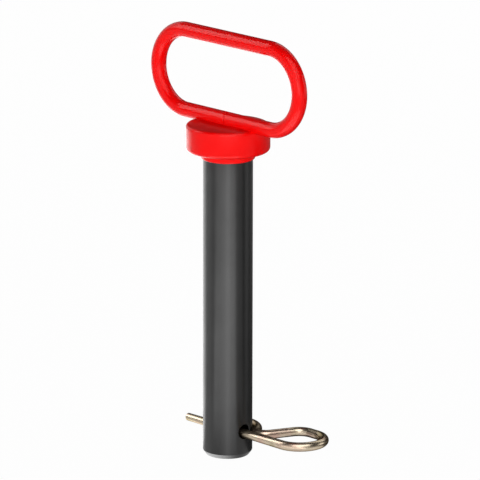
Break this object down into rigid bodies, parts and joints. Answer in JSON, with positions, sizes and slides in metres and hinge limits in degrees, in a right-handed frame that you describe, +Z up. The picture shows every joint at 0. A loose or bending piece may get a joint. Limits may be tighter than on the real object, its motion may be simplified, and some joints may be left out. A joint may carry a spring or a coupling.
{
  "type": "clevis pin",
  "caption": "Headed steel hitch pin with a welded oval rod handle and a wire hairpin clip through a cross hole near its tip.",
  "frame": {"origin": "centre of the flat tip of the pin, which it stands on", "axes": "+Z up the pin from the tip to the handle; +X along the cross hole, out towards the clip's loop, and along the handle; +Y completes the right-handed frame"},
  "size_m": [0.1102, 0.049, 0.2218],
  "materials": {
    "pin_steel": "dark satin phosphate on the shank, glossy red powder coat on the head and collar",
    "handle_coat": "glossy red powder coat",
    "clip_wire": "bright yellow zinc chromate"
  },
  "bodies": {
    "pin_with_handle": {"pin": "pin_steel", "handle": "handle_coat"},
    "hairpin_clip": {"clip": "clip_wire"}
  },
  "joints": [
    {"name": "clip_slide", "type": "slide", "parent": "pin_with_handle", "child": "hairpin_clip", "axis": [1, 0, 0], "range_m": [0, 0.065]}
  ]
}
